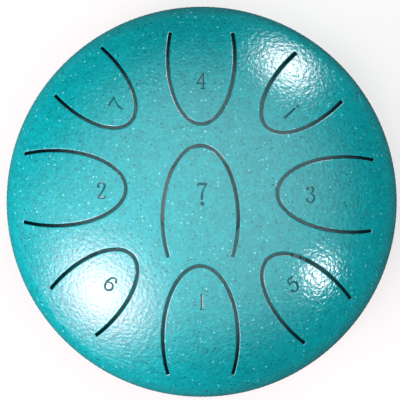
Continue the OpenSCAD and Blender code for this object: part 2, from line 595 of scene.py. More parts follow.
@dataclass(frozen=True)
class PlainSteel:
    """Steel without lacquer, with drawing marks, and painted shade that darkens it towards the
    seam.
    """

    name: str = "inside_steel"
    colour: Colour = (0.86, 0.89, 0.88)
    rough: Ramp = Ramp(0.2, 0.8, 0.45, 0.67)
    # Painted shade: the inside turns this dark teal from 46 mm to 69 mm from the axis.
    outer_shade_colour: Colour = (0.004, 0.085, 0.11)
    outer_shade: Ramp = Ramp(0.046, 0.069)
    clouds: Grain = Grain(9.0, 4.0, 0.6)
    clouds_level: Ramp = Ramp(0.2, 0.8, 0.85, 1.12)
    marks: Grain = Grain(0.5, 3.0, 0.7)
    streak: float = 0.15
    depth_mm: float = 0.012

    def make(self) -> Material:
        """Builds the material.

        Returns:
            The new material.
        """
        graph = Graph(bpy.data.materials.new(self.name))
        stretch = {0: graph.place(), 3: (1.0, 1.0, self.streak)}
        marks = graph.noise(self.marks, graph.node("ShaderNodeMapping", stretch).outputs[0])
        level = graph.ease(graph.noise(self.clouds), self.clouds_level)
        # Painted shade, darker towards the seam.
        outer_shade_share = graph.ease(graph.reach(), self.outer_shade)
        return graph.finish(
            Base_Color=graph.blend(outer_shade_share, graph.scaled(self.colour, level), (*self.outer_shade_colour, 1)),
            Roughness=graph.ease(marks, self.rough),
            Normal=graph.bump(marks, self.depth_mm),
        )


@dataclass(frozen=True)
class MouldedRubber:
    """Matt black rubber with a fine moulded grain and a little dust."""

    name: str = "moulded_rubber"
    colour: Colour = (0.022, 0.022, 0.024)
    dust_colour: Colour = (0.09, 0.088, 0.085)
    dust: Grain = Grain(4.0, 4.0, 0.65)
    dust_cover: Ramp = Ramp(0.5, 0.8, 0.0, 0.25)
    grain: Grain = Grain(0.35, 2.0, 0.6)
    rough: Ramp = Ramp(0.2, 0.8, 0.68, 0.85)
    depth_mm: float = 0.02

    def make(self) -> Material:
        """Builds the material.

        Returns:
            The new material.
        """
        graph = Graph(bpy.data.materials.new(self.name))
        grain = graph.noise(self.grain)
        dust = graph.ease(graph.noise(self.dust), self.dust_cover)
        return graph.finish(
            Base_Color=graph.blend(dust, (*self.colour, 1), (*self.dust_colour, 1)),
            Roughness=graph.ease(grain, self.rough),
            Normal=graph.bump(grain, self.depth_mm),
        )


@dataclass(frozen=True)
class ZincPlate:
    """Bright zinc plate on a small turned or pressed steel piece."""

    name: str = "zinc_plate"
    colour: Colour = (0.62, 0.63, 0.66)
    clouds: Grain = Grain(1.2, 3.0, 0.6)
    clouds_level: Ramp = Ramp(0.25, 0.75, 0.86, 1.06)
    rough: Ramp = Ramp(0.2, 0.8, 0.22, 0.42)
    grain: Grain = Grain(0.25)
    depth_mm: float = 0.004

    def make(self) -> Material:
        """Builds the material.

        Returns:
            The new material.
        """
        graph = Graph(bpy.data.materials.new(self.name))
        clouds = graph.noise(self.clouds)
        return graph.finish(
            Base_Color=graph.scaled(self.colour, graph.ease(clouds, self.clouds_level)),
            Metallic=1.0,
            Roughness=graph.ease(clouds, self.rough),
            Normal=graph.bump(graph.noise(self.grain), self.depth_mm),
        )


@dataclass(frozen=True)
class Finishes:
    """Every material of the drum, made once."""

    lacquer: Material
    numeral: Material
    inside: Material
    weld: Material
    rubber: Material
    zinc: Material
    boss: Material

    @classmethod
    def made(cls) -> Finishes:
        """Builds the materials.

        Returns:
            The finishes.
        """
        return cls(
            lacquer=HammeredLacquer().make(),
            # The numerals' grooves take the lacquer at 0.28 of its brightness: pooled lacquer and
            # painted shade in the grooves.
            numeral=HammeredLacquer(
                "pooled_lacquer_and_groove_shade", light=(0.045, 0.3, 0.33), depth_mm=0.01, shade=0.28, gloss=0.55
            ).make(),
            inside=PlainSteel().make(),
            weld=HammeredLacquer("weld_lacquer", depth_mm=0.04, shade=0.92).make(),
            rubber=MouldedRubber().make(),
            zinc=ZincPlate().make(),
            boss=PlainSteel(
                "turned_steel",
                colour=(0.78, 0.8, 0.8),
                rough=Ramp(0.2, 0.8, 0.35, 0.57),
                outer_shade=Ramp(0.046, 0.069, 0.0, 0.0),
            ).make(),
        )

    @property
    def sheet(self) -> tuple[Material, ...]:
        """The materials of a pressed sheet, by zone."""
        return (self.lacquer, self.numeral, self.inside)


@dataclass(frozen=True)
class Stroke:
    """One stroke of a numeral: points with the groove's width at each, on a smooth curve."""

    points: tuple[Place, ...]
    step: float = 0.16

    def path(self) -> np.ndarray:
        """Samples the stroke's middle line.

        Returns:
            Rows of place and width.
        """
        knots = np.array(self.points, float)
        if len(knots) == 2:
            count = max(2, int(np.hypot(*(knots[1, :2] - knots[0, :2])) / self.step))
            share = np.linspace(0, 1, count)[:, None]
            return knots[0] * (1 - share) + knots[1] * share
        padded = np.vstack([2 * knots[0] - knots[1], knots, 2 * knots[-1] - knots[-2]])
        rows = []
        for a, b, c, d in zip(padded, padded[1:], padded[2:], padded[3:]):
            count = max(2, int(np.hypot(*(c[:2] - b[:2])) / self.step))
            square, cube = 2 * a - 5 * b + 4 * c - d, 3 * b - a - 3 * c + d
            for t in np.linspace(0, 1, count, endpoint=False):
                rows.append(0.5 * (2 * b + (c - a) * t + square * t**2 + cube * t**3))
        rows.append(knots[-1])
        return np.array(rows)


class Numeral(Enum):
    """Numerals of a plain punch set, 6.5 mm tall, as strokes round their middle."""

    ONE = (
        Stroke(((0.0, 3.1, 0.62), (0.0, 0.0, 0.66), (0.0, -2.95, 0.62))),
        Stroke(((-0.62, -3.08, 0.34), (0.62, -3.08, 0.34))),
        Stroke(((-0.5, 2.62, 0.3), (0.0, 3.1, 0.5))),
    )
    TWO = (
        Stroke((
            (-1.38, 1.5, 0.75), (-1.25, 2.45, 0.45), (-0.1, 3.08, 0.4), (1.2, 2.45, 0.6),
            (1.3, 1.35, 0.66), (0.35, -0.55, 0.5), (-1.35, -2.75, 0.42),
        )),
        Stroke(((-1.4, -2.85, 0.55), (0.2, -2.9, 0.62), (1.35, -2.82, 0.5), (1.7, -2.1, 0.32))),
    )
    THREE = (
        Stroke((
            (-1.3, 2.0, 0.7), (-0.9, 2.8, 0.42), (0.1, 3.1, 0.42), (1.15, 2.45, 0.58),
            (1.1, 1.35, 0.56), (0.1, 0.42, 0.38),
        )),
        Stroke((
            (-0.2, 0.38, 0.36), (1.1, -0.2, 0.5), (1.62, -1.35, 0.68), (1.0, -2.7, 0.58),
            (-0.2, -3.12, 0.42), (-1.25, -2.6, 0.5), (-1.5, -1.9, 0.72),
        )),
    )
    FOUR = (
        Stroke(((0.62, 3.2, 0.5), (0.62, 0.0, 0.66), (0.62, -2.95, 0.62))),
        Stroke(((0.5, 3.15, 0.4), (-0.5, 1.2, 0.34), (-1.75, -0.95, 0.42))),
        Stroke(((-1.75, -1.0, 0.44), (1.6, -1.0, 0.36))),
        Stroke(((-0.15, -3.1, 0.36), (1.4, -3.1, 0.36))),
    )
    FIVE = (
        Stroke(((-0.85, 2.9, 0.44), (1.25, 2.95, 0.6))),
        Stroke(((-0.9, 2.9, 0.38), (-1.2, 0.75, 0.4))),
        Stroke((
            (-1.15, 0.7, 0.42), (0.1, 1.08, 0.44), (1.4, 0.3, 0.6), (1.55, -1.2, 0.68),
            (0.85, -2.65, 0.55), (-0.3, -3.1, 0.42), (-1.3, -2.65, 0.48), (-1.5, -2.05, 0.7),
        )),
    )
    SIX = (
        Stroke((
            (1.4, 2.1, 0.74), (0.95, 2.9, 0.48), (0.1, 3.15, 0.46), (-1.0, 2.2, 0.54),
            (-1.6, 0.2, 0.6), (-1.6, -1.4, 0.62), (-0.8, -2.9, 0.54), (0.25, -3.15, 0.5),
        )),
        Stroke((
            (0.25, -3.15, 0.5), (1.35, -2.2, 0.58), (1.6, -1.0, 0.6), (0.95, 0.25, 0.52),
            (0.0, 0.5, 0.44), (-0.95, 0.1, 0.4), (-1.4, -0.6, 0.4),
        )),
    )
    SEVEN = (
        Stroke(((-1.75, 1.95, 0.42), (-1.5, 2.8, 0.5), (0.0, 2.78, 0.68), (1.6, 2.85, 0.55))),
        Stroke(((1.6, 2.75, 0.4), (0.6, 0.9, 0.46), (-0.05, -0.9, 0.62), (-0.2, -3.0, 0.72))),
    )


class Octave(Enum):
    """The dot by a numeral: none, below for a low note, above for a high one."""

    PLAIN = 0
    LOW = -1
    HIGH = 1


@dataclass(frozen=True)
class Mark:
    """A pressed numeral on a tongue, with grooves that deepen from their edges to a flat bottom."""

    numeral: Numeral
    middle: Plan
    turn: float = 0.0
    octave: Octave = Octave.PLAIN
    dot_gap: float = 5.1
    dot_width: float = 1.05
    dot_half: float = 0.08
    press: float = 0.2
    wall: float = 0.38
    broad: float = 1.45
    reach: float = 7.0
    end_steps: int = 6

    def paths(self, profile: Profile) -> list[np.ndarray]:
        """Lays the strokes on the dome, in plan.

        Args:
            profile: The dome's section, whose slope foreshortens the strokes.

        Returns:
            One path for each stroke: place and width, in rows.
        """
        strokes = list(self.numeral.value)
        if self.octave is not Octave.PLAIN:
            away = self.octave.value * self.dot_gap
            ends = ((side * self.dot_half, away, self.dot_width) for side in (-1, 1))
            strokes.append(Stroke(tuple(ends)))
        radius = math.hypot(*self.middle)
        tilt = math.sqrt(1 - (radius / profile.crown_r) ** 2)
        outward = np.array(self.middle) / radius
        laid = []
        for rows in (stroke.path() for stroke in strokes):
            upright = turned(rows, self.turn)
            flat = upright + np.outer(upright @ outward * (tilt - 1), outward)
            laid.append(np.column_stack([flat + self.middle, rows[:, 2] * self.broad]))
        return laid

    def outline(self, path: np.ndarray) -> np.ndarray:
        """Outline of one stroke with round ends.

        Args:
            path: Place and width, in rows.

        Returns:
            The outline's points in order, in rows.
        """
        ahead = np.gradient(path[:, :2], axis=0)
        ahead /= np.maximum(np.linalg.norm(ahead, axis=1), TINY)[:, None]
        left = np.column_stack([-ahead[:, 1], ahead[:, 0]])
        half = path[:, 2:3] / 2
        turns = np.arange(1, self.end_steps)[:, None] * math.pi / self.end_steps
        cos, sin = np.cos(turns), np.sin(turns)
        last_end = path[-1, :2] + half[-1] * (cos * left[-1] + sin * ahead[-1])
        first_end = path[0, :2] - half[0] * (cos * left[0] + sin * ahead[0])
        left_side, right_side = path[:, :2] + left * half, path[:, :2] - left * half
        return np.vstack([left_side, last_end, right_side[::-1], first_end])

    def press_in(self, places: np.ndarray, depth: np.ndarray, paths: Sequence[np.ndarray]) -> None:
        """Deepens the dome's places in the grooves.

        Args:
            places: The places in plan, in rows.
            depth: Their depth under the dome, which is changed.
            paths: The strokes as laid on the dome.
        """
        near = np.linalg.norm(places - self.middle, axis=1) < self.reach
        inside = np.full(near.sum(), -1.0)
        for path in paths:
            away = np.linalg.norm(places[near, None, :] - path[None, :, :2], axis=2)
            inside = np.maximum(inside, (path[None, :, 2] / 2 - away).max(axis=1))
        depth[near] = np.maximum(depth[near], np.clip(inside * self.wall, 0, self.press))


@dataclass(frozen=True)
class SlotOutline:
    """Outline of a slot in plan, from one end of its outer side round and back."""

    points: np.ndarray
    away: np.ndarray
    inner_first: int
    inner_last: int


@dataclass(frozen=True)
class Tongue:
    """One tongue: where its root is, which way it points, and its numeral."""

    name: str
    root: Plan
    direction: float
    length: float
    family: Family
    mark: Mark
    slot_w: float = 1.3
    corner_r: float = 0.3
    corner_steps: int = 4
    samples: int = 92

    def centre_line(self, angles: np.ndarray) -> tuple[np.ndarray, np.ndarray]:
        """Middle line of the slot, in the tongue's own frame.

        Args:
            angles: Places on the ellipse that the slot follows.

        Returns:
            The places and the normals away from the tongue, in rows.
        """
        wide, high = self.family.belly, self.family.half_width
        cos, sin = np.cos(angles), np.sin(angles)
        spots = np.column_stack([wide - self.length + wide * cos, high * sin])
        normals = np.column_stack([high * cos, wide * sin])
        return spots, normals / np.linalg.norm(normals, axis=1)[:, None]

    def end(self, angle: float, side: int) -> tuple[np.ndarray, np.ndarray]:
        """The two rounded corners of one of the slot's ends.

        Args:
            angle: The end's place on the ellipse.
            side: The side that the outline comes along: 1 outer, -1 inner.

        Returns:
            The corners' points and their normals, in rows.
        """
        (spot,), (normal,) = self.centre_line(np.array([angle]))
        out = np.array([normal[1], -normal[0]])
        out = out if out[0] > 0 else -out
        inset = (self.slot_w / 2 - self.corner_r) * normal
        hearts = [spot + way * inset - self.corner_r * out for way in (side, -side)]
        turns = np.arange(self.corner_steps + 1)[:, None] * math.pi / 2 / self.corner_steps
        cos, sin = np.cos(turns), np.sin(turns)
        first = cos[1:] * side * normal + sin[1:] * out
        second = cos[:-1] * out - sin[:-1] * side * normal
        ways = np.vstack([first, second])
        return np.repeat(hearts, self.corner_steps, axis=0) + self.corner_r * ways, ways

    def slot(self) -> SlotOutline:
        """Outlines the slot.

        Returns:
            The outline, whose inner side runs from end to end between two of its points.
        """
        wide, high = self.family.belly, self.family.half_width
        start = math.acos((self.length - wide) / wide)
        begin = start + self.corner_r / math.hypot(wide * math.sin(start), high * math.cos(start))
        spots, normals = self.centre_line(np.linspace(begin, math.tau - begin, self.samples))
        half = self.slot_w / 2
        far_points, far_ways = self.end(math.tau - start, 1)
        near_points, near_ways = self.end(start, -1)
        inner = (spots - half * normals)[::-1]
        points = np.vstack([spots + half * normals, far_points, inner, near_points])
        ways = np.vstack([normals, far_ways, -normals[::-1], near_ways])
        first = len(spots) + len(far_points)
        plan = turned(points, self.direction) + self.root
        return SlotOutline(plan, turned(ways, self.direction), first, first + len(inner) - 1)

    @property
    def tip(self) -> Vector:
        """Unit vector in plan from the root to the tip."""
        turn = math.radians(self.direction)
        return Vector((-math.cos(turn), -math.sin(turn), 0))


@dataclass
class Layout:
    """Everything that goes into the dome's triangulation, in plan.

    A point's relief is its depth under the dome, the two parts of the direction to its
    slot, and how far its normal leans that way.
    """

    places: list[np.ndarray] = field(default_factory=list)
    relief: list[tuple[float, ...]] = field(default_factory=list)
    edges: list[tuple[int, int]] = field(default_factory=list)
    polygons: list[list[int]] = field(default_factory=list)
    labels: list[str] = field(default_factory=list)
    merge: float = 1e-5

    def put(
        self,
        points: np.ndarray,
        depth: float = 0.0,
        lean: float = 0.0,
        ways: np.ndarray | None = None,
    ) -> list[int]:
        """Adds points.

        Args:
            points: The points, in rows.
            depth: Their depth under the dome.
            lean: How far their normals lean to the slot.
            ways: The direction to the slot, for each point.

        Returns:
            The indices of the points.
        """
        for point, way in zip(points, np.zeros((len(points), 2)) if ways is None else ways):
            self.places.append(point)
            self.relief.append((depth, *way, lean))
        return list(range(len(self.places) - len(points), len(self.places)))

    def chain(self, indices: Sequence[int]) -> None:
        """Adds the edges along points."""
        self.edges.extend(zip(indices, indices[1:]))

    def mark_out(self, polygon: list[int], label: str) -> None:
        """Adds a polygon.

        Args:
            polygon: Its points in order, either way round.
            label: What it stands for.
        """
        x, y = np.array([self.places[index] for index in polygon]).T
        leftward = np.sum(x * np.roll(y, -1) - y * np.roll(x, -1)) > 0
        self.polygons.append(polygon if leftward else polygon[::-1])
        self.labels.append(label)

    def triangulated(self) -> tuple[np.ndarray, np.ndarray, dict[int, int], Regions]:
        """Cuts the plan into triangles and sorts them by piece.

        Returns:
            The places and their relief, in rows, where each point that went in came
            out, and each piece's triangles, with whether a numeral covers them.
        """
        vectors = [Vector(place) for place in self.places]
        found = delaunay_2d_cdt(vectors, self.edges, self.polygons, 0, self.merge, True)
        places, _, faces, sources, _, covers = found
        relief, position = np.zeros((len(places), 4)), {}
        for index, points in enumerate(sources):
            for point in points:
                position[point] = index
                new, old = self.relief[point], relief[index]
                if new[0] > old[0] or abs(new[3]) > abs(old[3]):
                    relief[index] = new
        regions: Regions = {}
        for face, polygons in zip(faces, covers):
            kinds = {self.labels[polygon] for polygon in polygons}
            if SLOT not in kinds:
                owner = next((kind for kind in kinds if kind != NUMERAL), "top_shell")
                regions.setdefault(owner, []).append((tuple(face), NUMERAL in kinds))
        return np.array([tuple(place) for place in places]), relief, position, regions


@dataclass
class CutSheet:
    """The dome's sheet, raised from its triangulation, with the triangles of each piece."""

    profile: Profile
    places: np.ndarray
    relief: np.ndarray
    rim: list[int]
    regions: Regions
    same_way: float = 0.7
    upper: np.ndarray = field(init=False)
    lower: np.ndarray = field(init=False)
    upright: np.ndarray = field(init=False)
    normals: np.ndarray = field(init=False)
    ways: np.ndarray = field(init=False)

    def __post_init__(self) -> None:
        """Raises the places to the sheet's two faces and finds their normals."""
        radius = np.hypot(self.places[:, 0], self.places[:, 1])
        height, slope = self.profile.shape(radius)
        under, _ = self.profile.shape(radius, self.profile.sheet_t)
        self.upper = np.column_stack([self.places, height - self.relief[:, 0]])
        self.lower = np.column_stack([self.places, under])
        outward = self.places / np.maximum(radius, TINY)[:, None]
        self.upright = np.column_stack([outward * np.sin(slope)[:, None], np.cos(slope)])
        self.ways = np.column_stack([self.relief[:, 1:3], np.zeros(len(radius))])
        lean = self.relief[:, 3:]
        mixed = self.upright * np.sqrt(1 - lean**2) + self.ways * lean
        self.normals = mixed / np.linalg.norm(mixed, axis=1)[:, None]

    def piece(self, name: str) -> tuple[MeshBuilder, list[int], list[int]]:
        """Makes the sheet of one piece: its upper face, its lower face and its cut walls.

        Args:
            name: The piece, which is a tongue or the shell.

        Returns:
            The mesh so far, and the upper and the lower points of its outer circle,
            which is left open.
        """
        used = sorted({index for face, _ in self.regions[name] for index in face})
        local = {index: number for number, index in enumerate(used)}
        under, rim = len(used), set(self.rim)
        builder = MeshBuilder()
        for side in (self.upper, self.lower):
            builder.add_points([tuple(side[index]) for index in used])
        edges: dict[tuple[int, int], None] = {}
        for face, pressed in self.regions[name]:
            a, b, c = (self.upper[index] for index in face)
            flat = np.cross(b - a, c - a)
            if flat[2] < 0:
                face, flat = face[::-1], -flat
            corners = [local[index] for index in face]
            if pressed:
                facing = flat / max(np.linalg.norm(flat), TINY)
                builder.add_face(corners, [facing] * 3, Zone.NUMERAL)
            else:
                builder.add_face(corners, self.normals[list(face)], Zone.OUTSIDE)
            below = [corner + under for corner in reversed(corners)]
            builder.add_face(below, -self.upright[list(face[::-1])], Zone.INSIDE)
            for first, second in zip(face, (*face[1:], face[0])):
                if (second, first) in edges:
                    del edges[(second, first)]
                else:
                    edges[(first, second)] = None
        for edge in edges:
            if not rim.issuperset(edge):
                a, b = (local[index] for index in edge)
                along = self.places[edge[1]] - self.places[edge[0]]
                flat = np.array([along[1], -along[0], 0.0]) / max(np.hypot(*along), TINY)
                ways = self.ways[list(edge)]
                start, end = (way if way @ flat > self.same_way else flat for way in ways)
                wall = (a, a + under, b + under, b)
                builder.add_face(wall, (start, start, end, end), Zone.OUTSIDE)
        outer = [local[index] for index in self.rim if index in local]
        return builder, outer, [index + under for index in outer]


@dataclass
class TongueDome:
    """The top shell and its nine tongues, cut from one sheet so that they meet without a step."""

    finishes: Finishes
    profile: Profile = Profile(crown_r=110.0, shoulder_r=11.0, wide_z=43.309, up=True)
    lip_w: float = 0.4
    lip_d: float = 0.17
    lip_power: float = 1.9
    lip_shares: tuple[float, ...] = (1.0, 0.8, 0.55, 0.25, 0.0)
    rim_r: float = 75.2
    segments: int = 288
    grid: float = 2.1
    root_step: float = 1.2
    rim_room: float = 0.9
    slot_room: float = 1.1
    stroke_room: float = 0.6
    bend: float = 9.0
    tongues: tuple[Tongue, ...] = (
        Tongue(
            "tongue_1", (-0.5, -68.22), -90.0, 43.1, Family.WIDE,
            Mark(Numeral.ONE, (0.1, -39.3)),
        ),
        Tongue(
            "tongue_2", (-70.25, 5.51), 179.5, 40.6, Family.WIDE,
            Mark(Numeral.TWO, (-39.3, 4.5)),
        ),
        Tongue(
            "tongue_3", (67.46, 2.53), -2.0, 37.76, Family.WIDE,
            Mark(Numeral.THREE, (42.7, 2.9), broad=1.25),
        ),
        Tongue(
            "tongue_4", (-0.07, 66.82), 89.6, 36.3, Family.NARROW,
            Mark(Numeral.FOUR, (-0.2, 47.3)),
        ),
        Tongue(
            "tongue_5", (49.78, -47.17), -46.0, 34.39, Family.NARROW,
            Mark(Numeral.FIVE, (35.8, -32.5), 33.0),
        ),
        Tongue(
            "tongue_6", (-50.79, -43.66), -136.0, 32.76, Family.NARROW,
            Mark(Numeral.SIX, (-35.8, -32.2), -37.0),
        ),
        Tongue(
            "tongue_7", (-48.95, 51.68), 136.0, 29.31, Family.NARROW,
            Mark(Numeral.SEVEN, (-33.4, 38.2), 54.0, broad=1.05),
        ),
        Tongue(
            "tongue_high_1", (46.38, 49.39), 43.5, 28.92, Family.NARROW,
            Mark(Numeral.ONE, (34.6, 34.8), -48.0, Octave.HIGH, 4.75, broad=1.2),
        ),
        Tongue(
            "tongue_low_7", (-0.5, -21.72), -90.0, 43.74, Family.WIDE,
            Mark(Numeral.SEVEN, (0.25, 4.2), 0.0, Octave.LOW, 4.9),
        ),
    )

    def lay_tongue(self, layout: Layout, tongue: Tongue) -> list[np.ndarray]:
        """Lays out a tongue's slot with its rolled lips, and its root.

        Args:
            layout: The plan so far.
            tongue: The tongue.

        Returns:
            The slot's outline and the root's points, each in rows.
        """
        slot = tongue.slot()
        first, last = slot.inner_first, slot.inner_last
        rings = []
        for share in self.lip_shares:
            fall = self.lip_power * self.lip_d / self.lip_w * share ** (self.lip_power - 1)
            points = slot.points + slot.away * self.lip_w * (1 - share)
            depth, lean = self.lip_d * share**self.lip_power, math.sin(math.atan(fall))
            rings.append(layout.put(points, depth, lean, -slot.away))
            layout.chain([*rings[-1], rings[-1][0]])
        for near, far in zip(rings, rings[1:]):
            layout.edges += [(near[first], far[first]), (near[last], far[last])]
        start, end = layout.places[rings[-1][last]], layout.places[rings[-1][first]]
        steps = int(np.linalg.norm(end - start) / self.root_step)
        across = start + (end - start) * np.linspace(0, 1, steps + 1)[1:-1, None]
        root = layout.put(across)
        layout.chain([rings[-1][last], *root, rings[-1][first]])
        layout.mark_out(rings[0], SLOT)
        there, back = [ring[last] for ring in rings[1:]], [ring[first] for ring in rings[:0:-1]]
        layout.mark_out(rings[0][first : last + 1] + there + root + back, tongue.name)
        return [slot.points, across]

    def field_points(self, rooms: Sequence[tuple[np.ndarray, float]]) -> np.ndarray:
        """Gives a field of points between the outlines.

        Args:
            rooms: The lines of the plan, and how far the points stay from each.

        Returns:
            The points, in rows.
        """
        pitch = self.grid * math.sqrt(3) / 2
        high = int(self.rim_r / pitch) + 1
        wide = high + 2
        rows = [
            (column * self.grid + (self.grid / 2 if row % 2 else 0.0), row * pitch)
            for row in range(-high, high + 1)
            for column in range(-wide, wide + 1)
        ]
        spots = np.array(rows)
        spots = spots[np.hypot(spots[:, 0], spots[:, 1]) < self.rim_r - self.rim_room]
        for line, room in rooms:
            away = np.linalg.norm(spots[:, None, :] - line[None, :, :2], axis=2)
            spots = spots[away.min(axis=1) > room]
        return spots

    def cut(self) -> CutSheet:
        """Puts every outline of the plan into one triangulation.

        Returns:
            The sheet.
        """
        layout = Layout()
        turn = np.arange(self.segments) * math.tau / self.segments
        rim = layout.put(np.column_stack([self.rim_r * np.cos(turn), self.rim_r * np.sin(turn)]))
        layout.chain([*rim, rim[0]])
        rooms = []
        for tongue in self.tongues:
            rooms += [(line, self.slot_room) for line in self.lay_tongue(layout, tongue)]
        marks = [(tongue.mark, tongue.mark.paths(self.profile)) for tongue in self.tongues]
        for mark, paths in marks:
            for path in paths:
                layout.mark_out(layout.put(mark.outline(path)), NUMERAL)
                layout.chain(layout.put(path[:, :2]))
                rooms.append((path, self.stroke_room))
        layout.put(self.field_points(rooms))
        places, relief, position, regions = layout.triangulated()
        for mark, paths in marks:
            mark.press_in(places, relief[:, 0], paths)
        return CutSheet(self.profile, places, relief, [position[index] for index in rim], regions)

    def add_rim(self, builder: MeshBuilder, upper: Sequence[int], lower: Sequence[int]) -> None:
        """Adds the shell's shoulder and skirt to its crown.

        Args:
            builder: The crown's mesh.
            upper: The points of its outer circle on the upper face.
            lower: The points of its outer circle on the lower face.
        """
        outer = self.profile.section(self.rim_r)
        inner = self.profile.section(self.rim_r, self.profile.sheet_t)
        edge = [(*outer[-1][:2], 0, -1), (*inner[-1][:2], 0, -1)]
        skirt = builder.add_lathe(outer, self.segments, Zone.OUTSIDE, upper)
        foot = builder.add_lathe(edge, self.segments, Zone.INSIDE, skirt)
        builder.add_lathe(inner[::-1], self.segments, Zone.INSIDE, foot, lower)

    def build(self) -> list[Object]:
        """Makes the shell and its tongues, and ties the shell to the drum's body.

        Returns:
            The new objects.
        """
        sheet = self.cut()
        builder, upper, lower = sheet.piece("top_shell")
        self.add_rim(builder, upper, lower)
        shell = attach(builder.build("dome_sheet", self.finishes.sheet), DRUM)
        made = [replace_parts(shell, "top_shell")]
        for tongue in self.tongues:
            builder, _, _ = sheet.piece(tongue.name)
            thing = builder.build(f"{tongue.name}_sheet", self.finishes.sheet)
            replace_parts(thing, tongue.name)
            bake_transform(thing)
            made.append(thing)
        return made


@dataclass
class BottomShell:
    """The lower pressing, with the rolled edge of its sound port."""

    finishes: Finishes
    profile: Profile = Profile(crown_r=150.0, shoulder_r=20.0, wide_z=36.309, up=False)
    port_r: float = 18.0
    edge_r: float = 0.35
    edge_steps: int = 4
    segments: int = 288

    def port_edge(self, low_z: float, high_z: float) -> list[SectionPoint]:
        """Section of the port's edge, rounded at both corners.

        Args:
            low_z: Height of the outer face beside the edge.
            high_z: Height of the inner face beside the edge.

        Returns:
            The section's points, from the outer face to the inner one.
        """
        lower, upper = [], []
        for step in range(self.edge_steps + 1):
            turn = math.pi / 2 * step / self.edge_steps
            cos, sin = math.cos(turn), math.sin(turn)
            more, less = self.edge_r * (1 - cos), self.edge_r * (1 - sin)
            lower.append((self.port_r + less, low_z + more, -sin, -cos))
            upper.append((self.port_r + more, high_z - less, -cos, sin))
        return lower + upper

    def build(self) -> Object:
        """Makes the shell.

        Returns:
            The new object.
        """
        start_r = self.port_r + self.edge_r
        skin = self.profile.section(start_r)
        hide = self.profile.section(start_r, self.profile.sheet_t)
        edge = self.port_edge(skin[0][1], hide[0][1])
        lip = [(*hide[-1][:2], 0, 1), (*skin[-1][:2], 0, 1)]
        builder = MeshBuilder()
        port = builder.add_points(circle(*skin[0][:2], self.segments))
        ring = builder.add_lathe(edge, self.segments, Zone.OUTSIDE, port)
        ring = builder.add_lathe(hide, self.segments, Zone.INSIDE, ring)
        ring = builder.add_lathe(lip, self.segments, Zone.INSIDE, ring)
        builder.add_lathe(skin[::-1], self.segments, Zone.OUTSIDE, ring, port)
        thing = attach(builder.build("base_sheet", self.finishes.sheet), DRUM)
        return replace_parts(thing, "bottom_shell")


@dataclass
class SeamWeld:
    """The bead round the widest line, laid in one pass with close ripples.

    Each wave of its wander has a height, a number of turns round the seam and a start.
    """

    finishes: Finishes
    rise: float = 0.19
    sink: float = 0.04
    depth: float = 0.9
    half_w: float = 1.3
    ripple: float = 0.15
    ripples: int = 230
    ripple_bow: float = 1.6
    waves: tuple[Place, ...] = ((0.06, 7, 0.0), (0.04, 17, 1.3))
    segments: int = 1380
    across: tuple[float, ...] = (-1.0, -0.82, -0.55, -0.25, 0.0, 0.25, 0.55, 0.82, 1.0)

    def ring(self, turn: float) -> list[Place]:
        """Section of the bead at one place on the seam.

        Args:
            turn: The angle round the axis, in radians.

        Returns:
            The points, from the bead's lower edge to its upper one, and one in the seam.
        """
        wander = sum(high * math.sin(count * turn + start) for high, count, start in self.waves)
        section = [(DRUM_R - self.sink, SEAM_Z - self.half_w)]
        for place in self.across[1:-1]:
            crown = 1 - place * place
            notch = (0.5 - 0.5 * math.cos(self.ripples * turn - self.ripple_bow * crown)) ** 2
            radius = DRUM_R + (self.rise - self.ripple * notch) * crown
            section.append((radius, SEAM_Z + place * self.half_w + wander))
        section += [(DRUM_R - self.sink, SEAM_Z + self.half_w), (DRUM_R - self.depth, SEAM_Z)]
        return [(r * math.cos(turn), r * math.sin(turn), height) for r, height in section]

    def build(self) -> Object:
        """Makes the bead as a closed ring.

        Returns:
            The new object.
        """
        turns = [math.tau * step / self.segments for step in range(self.segments)]
        points = [point for turn in turns for point in self.ring(turn)]
        wide = len(self.across) + 1
        faces = []
        for step in range(self.segments):
            here, there = step * wide, (step + 1) % self.segments * wide
            for place in range(wide):
                after = (place + 1) % wide
                faces.append((here + place, there + place, there + after, here + after))
        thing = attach(surface("weld_bead", points, faces, [self.finishes.weld]), DRUM)
        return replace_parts(thing, "seam_weld")


@dataclass
class Feet:
    """The three rubber feet with their screws, washers and bosses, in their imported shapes."""

    finishes: Finishes
    nodes: dict[str, Object]
    count: int = 3

    def build(self) -> list[Object]:
        """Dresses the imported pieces.

        Returns:
            The pieces.
        """
        finishes = {
            "foot": self.finishes.rubber,
            "foot_washer": self.finishes.zinc,
            "foot_screw": self.finishes.zinc,
            "foot_boss": self.finishes.boss,
        }
        dressed = []
        for kind, finish in finishes.items():
            for number in range(1, self.count + 1):
                thing = self.nodes[f"{kind}_{number}"]
                for place in range(len(thing.data.materials)):
                    thing.data.materials[place] = finish
                dressed.append(thing)
        return dressed


@dataclass(frozen=True)
class SoftBox:
    """A soft light with a hot middle, placed where a spot of the dome mirrors it upwards."""

    spot: Plan
    width: float
    glow: float
    tint: Colour

    def way(self, profile: Profile) -> Place:
        """Direction of the light.

        Args:
            profile: The dome's section.

        Returns:
            The unit vector from the drum to the light's middle.
        """
        reach = math.hypot(*self.spot)
        tilt = 2 * math.asin(reach / profile.crown_r)
        across = math.sin(tilt) / reach
        return (self.spot[0] * across, self.spot[1] * across, math.cos(tilt))

    def light(self, graph: Graph, way: NodeSocket, profile: Profile) -> NodeSocket:
        """Adds the light to the sky.

        Args:
            graph: The world's graph.
            way: The direction that is looked in.
            profile: The dome's section.

        Returns:
            The light's colour, which falls off as a bell curve from the middle.
        """
        aim = graph.vector("DOT_PRODUCT", way, self.way(profile)).outputs["Value"]
        steep = 2 / math.radians(self.width) ** 2
        fall = graph.product(graph.math("SUBTRACT", aim, 1.0), steep)
        return graph.scaled(self.tint, graph.product(graph.math("EXPONENT", fall), self.glow))


